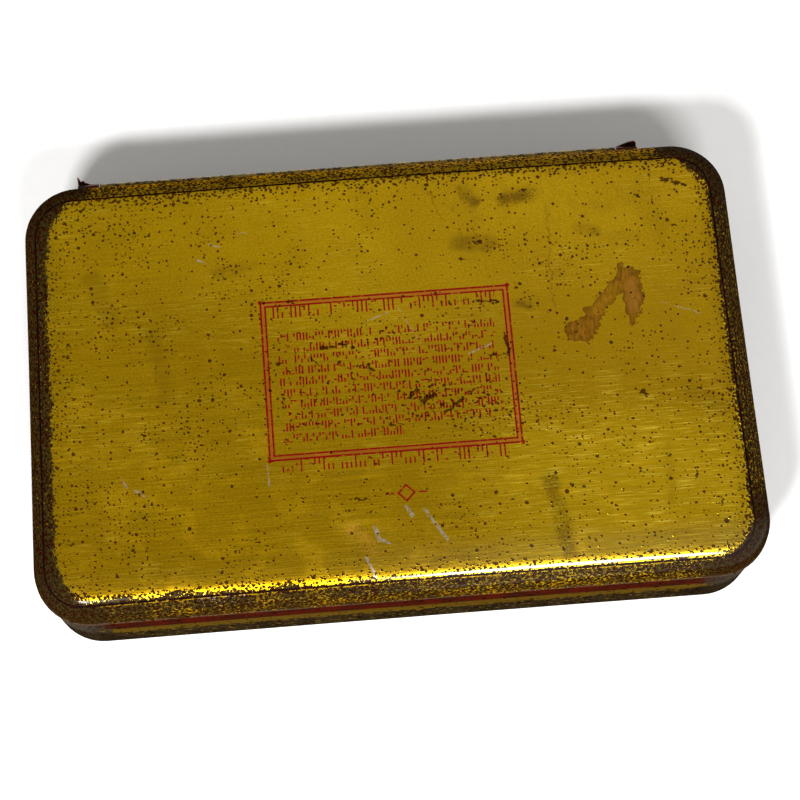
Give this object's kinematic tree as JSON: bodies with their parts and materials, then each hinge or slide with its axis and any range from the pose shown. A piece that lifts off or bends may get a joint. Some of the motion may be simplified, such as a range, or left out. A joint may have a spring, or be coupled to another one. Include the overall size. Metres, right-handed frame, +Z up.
{
  "type": "hinged tin",
  "caption": "Flat hinged tinplate box with rounded corners, a rolled-shoulder lid over a deep body, and a wire hinge along the rear.",
  "frame": {"origin": "middle of the body's resting face, on the surface that the tin stands on", "axes": "+X along the tin's length, +Y towards the hinge, +Z up through the lid"},
  "size_m": [0.137, 0.0891, 0.0286],
  "materials": {
    "gold_print": "gold lacquer over brushed tinplate, with rust specks and dark worn edges",
    "red_print": "dark red print with a gold stripe, worn and rusted along the lower roll",
    "bare_wire": "plain steel wire, dulled and lightly rusted"
  },
  "bodies": {
    "body": {"body_shell": "red_print", "hinge_lug_left": "red_print", "hinge_lug_right": "red_print", "hinge_wire": "bare_wire"},
    "lid": {"lid_shell": "gold_print", "lid_hinge_barrel": "gold_print"}
  },
  "joints": [
    {"name": "lid_hinge", "type": "hinge", "parent": "body", "child": "lid", "pos_m": [0, 0.04375, 0.0211], "axis": [-1, 0, 0], "range_deg": [0, 180]}
  ]
}
